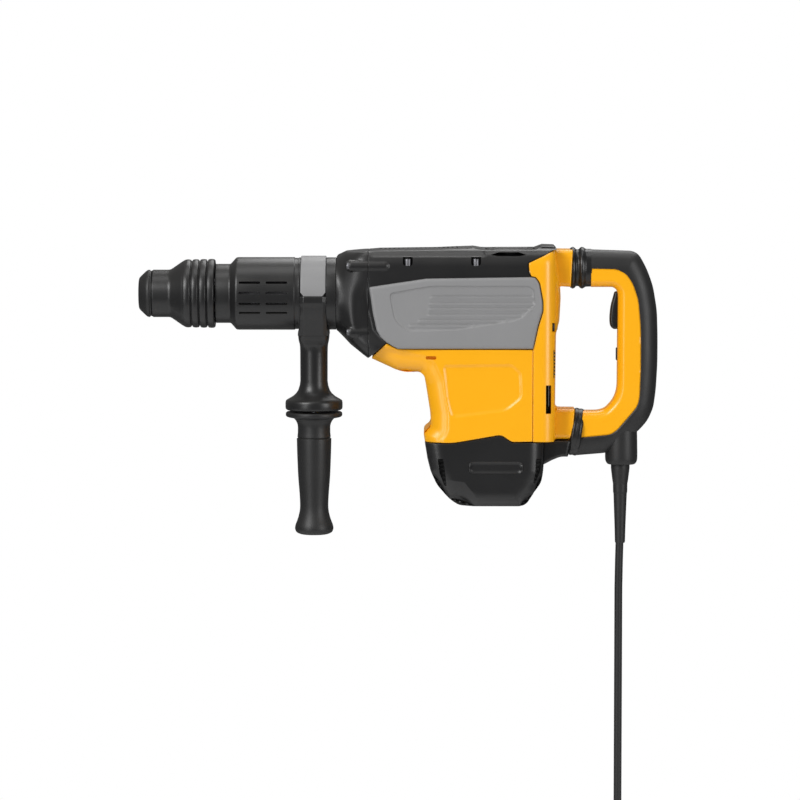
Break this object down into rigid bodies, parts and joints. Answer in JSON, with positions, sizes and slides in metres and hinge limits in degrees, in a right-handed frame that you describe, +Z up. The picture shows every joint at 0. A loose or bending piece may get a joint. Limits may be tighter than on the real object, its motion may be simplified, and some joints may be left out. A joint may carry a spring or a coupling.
{
  "type": "demolition hammer",
  "caption": "Heavy rotary and chipping hammer: quick-release tool holder, clamped side handle, upright motor, sprung D-handle and mains lead.",
  "frame": {"origin": "on the impact axis, in the middle plane of the side-handle clamp", "axes": "nose towards -X, D-handle towards +X, +Z up, symmetric about Y = 0"},
  "size_m": [0.5797, 0.168, 0.7143],
  "materials": {
    "yellow_housing": "satin moulded nylon, yellow",
    "black_housing": "fine-grained moulded nylon, black",
    "rubber_grip": "soft overmould with a fine grain, black",
    "grey_panel": "satin moulded panel, mid grey",
    "tool_steel": "ground and hardened steel",
    "dark_steel": "phosphated gear steel",
    "copper": "wound copper and commutator bars",
    "circuit": "potted control board",
    "lead": "rubber-sheathed mains lead, black"
  },
  "bodies": {
    "housing": {"front_bearing": "tool_steel", "spindle_bearing": "tool_steel", "barrel_cover": "black_housing", "gear_nose_cover": "black_housing", "gear_housing": "black_housing", "side_panel_left": "grey_panel", "side_panel_right": "grey_panel", "motor_housing": "yellow_housing", "end_cap": "black_housing", "rear_shell_left": "yellow_housing", "rear_shell_right": "yellow_housing", "rear_vent_plate": "black_housing", "control_module": "circuit", "pivot_pin": "tool_steel", "stator": "dark_steel", "carbon_brush_left": "black_housing", "carbon_brush_right": "black_housing", "upper_motor_bearing": "tool_steel", "lower_motor_bearing": "tool_steel"},
    "spindle": {"tool_holder": "tool_steel", "locking_bar_upper": "dark_steel", "locking_bar_lower": "dark_steel", "dust_cap": "rubber_grip", "spindle_tube": "tool_steel", "spindle_gear": "dark_steel"},
    "release_sleeve": {"locking_sleeve": "black_housing", "chuck_spring": "tool_steel"},
    "impact_bolt": {"impact_bolt": "tool_steel"},
    "striker": {"striker": "tool_steel"},
    "piston": {"piston": "tool_steel", "wrist_pin": "dark_steel"},
    "connecting_rod": {"connecting_rod": "tool_steel"},
    "crank": {"crank_gear": "dark_steel"},
    "clutch": {"clutch_gear": "dark_steel", "bevel_pinion": "tool_steel"},
    "armature": {"armature_core": "copper", "armature_shaft": "tool_steel", "commutator": "copper", "cooling_fan": "black_housing"},
    "side_handle": {"collar_strap": "grey_panel", "clamp_cradle": "black_housing", "side_handle_stem": "black_housing"},
    "side_grip": {"side_grip": "rubber_grip", "clamp_bolt": "tool_steel"},
    "mode_dial": {"mode_dial": "black_housing"},
    "speed_dial": {"speed_dial": "black_housing"},
    "rear_handle": {"handle_core_left": "yellow_housing", "handle_core_right": "yellow_housing", "handle_overmould": "rubber_grip", "switch_body": "black_housing", "upper_boot": "rubber_grip", "lower_boot": "rubber_grip", "handle_spring": "tool_steel", "strain_relief": "rubber_grip", "power_lead": "lead", "lead_coil": "lead", "lead_tie": "black_housing", "lead_plug": "lead"},
    "trigger": {"trigger": "black_housing"},
    "lock_button": {"lock_button": "black_housing"}
  },
  "joints": [
    {"name": "armature_spin", "type": "hinge", "parent": "housing", "child": "armature", "pos_m": [0.187, 0, -0.113], "axis": [0, 0, 1], "continuous": true},
    {"name": "crank_spin", "type": "hinge", "parent": "housing", "child": "crank", "pos_m": [0.14, 0, -0.025], "axis": [0, 0, 1], "continuous": true},
    {"name": "clutch_spin", "type": "hinge", "parent": "housing", "child": "clutch", "pos_m": [0.09, 0, -0.046], "axis": [0, 0, 1], "continuous": true},
    {"name": "spindle_spin", "type": "hinge", "parent": "housing", "child": "spindle", "pos_m": [0, 0, 0], "axis": [1, 0, 0], "continuous": true},
    {"name": "piston_stroke", "type": "slide", "parent": "housing", "child": "piston", "axis": [1, 0, 0], "range_m": [-0.032, 0]},
    {"name": "rod_swing", "type": "hinge", "parent": "piston", "child": "connecting_rod", "pos_m": [0.046, 0, 0], "axis": [0, 0, 1], "range_deg": [-8.4, 8.4]},
    {"name": "striker_flight", "type": "slide", "parent": "housing", "child": "striker", "axis": [1, 0, 0], "range_m": [0, 0.016]},
    {"name": "bolt_travel", "type": "slide", "parent": "housing", "child": "impact_bolt", "axis": [-1, 0, 0], "range_m": [0, 0.0072]},
    {"name": "sleeve_release", "type": "slide", "parent": "housing", "child": "release_sleeve", "axis": [1, 0, 0], "range_m": [0, 0.012], "stiffness_N_per_m": 900, "deforming": ["chuck_spring"]},
    {"name": "side_handle_swing", "type": "hinge", "parent": "housing", "child": "side_handle", "pos_m": [0, 0, 0], "axis": [1, 0, 0], "range_deg": [-180, 180]},
    {"name": "side_grip_turn", "type": "hinge", "parent": "side_handle", "child": "side_grip", "pos_m": [0, 0, -0.2], "axis": [0, 0, 1], "range_deg": [-360, 0]},
    {"name": "mode_dial_turn", "type": "hinge", "parent": "housing", "child": "mode_dial", "pos_m": [0.2193, 0, 0.048], "axis": [0, 0, 1], "range_deg": [-90, 90]},
    {"name": "speed_dial_turn", "type": "hinge", "parent": "housing", "child": "speed_dial", "pos_m": [0.2633, 0, -0.037], "axis": [0, 1, 0], "range_deg": [-135, 135]},
    {"name": "handle_pivot", "type": "hinge", "parent": "housing", "child": "rear_handle", "pos_m": [0.28, 0, -0.145], "axis": [0, -1, 0], "range_deg": [0, 2.6], "stiffness_Nm_per_rad": 600, "springref_deg": -3.44, "deforming": ["upper_boot", "lower_boot", "handle_spring"]},
    {"name": "trigger_pull", "type": "hinge", "parent": "rear_handle", "child": "trigger", "pos_m": [0.341, 0, 0.0025], "axis": [0, -1, 0], "range_deg": [0, 8], "stiffness_Nm_per_rad": 2, "springref_deg": -5.73},
    {"name": "lock_button_push", "type": "slide", "parent": "rear_handle", "child": "lock_button", "axis": [1, 0, 0], "range_m": [0, 0.003], "stiffness_N_per_m": 400, "springref_m": -0.001}
  ],
  "couplings": [
    {"joint": "crank_spin", "follows": "armature_spin", "ratio": -0.22222},
    {"joint": "clutch_spin", "follows": "armature_spin", "ratio": 0.11111},
    {"joint": "spindle_spin", "follows": "armature_spin", "ratio": -0.039683}
  ]
}
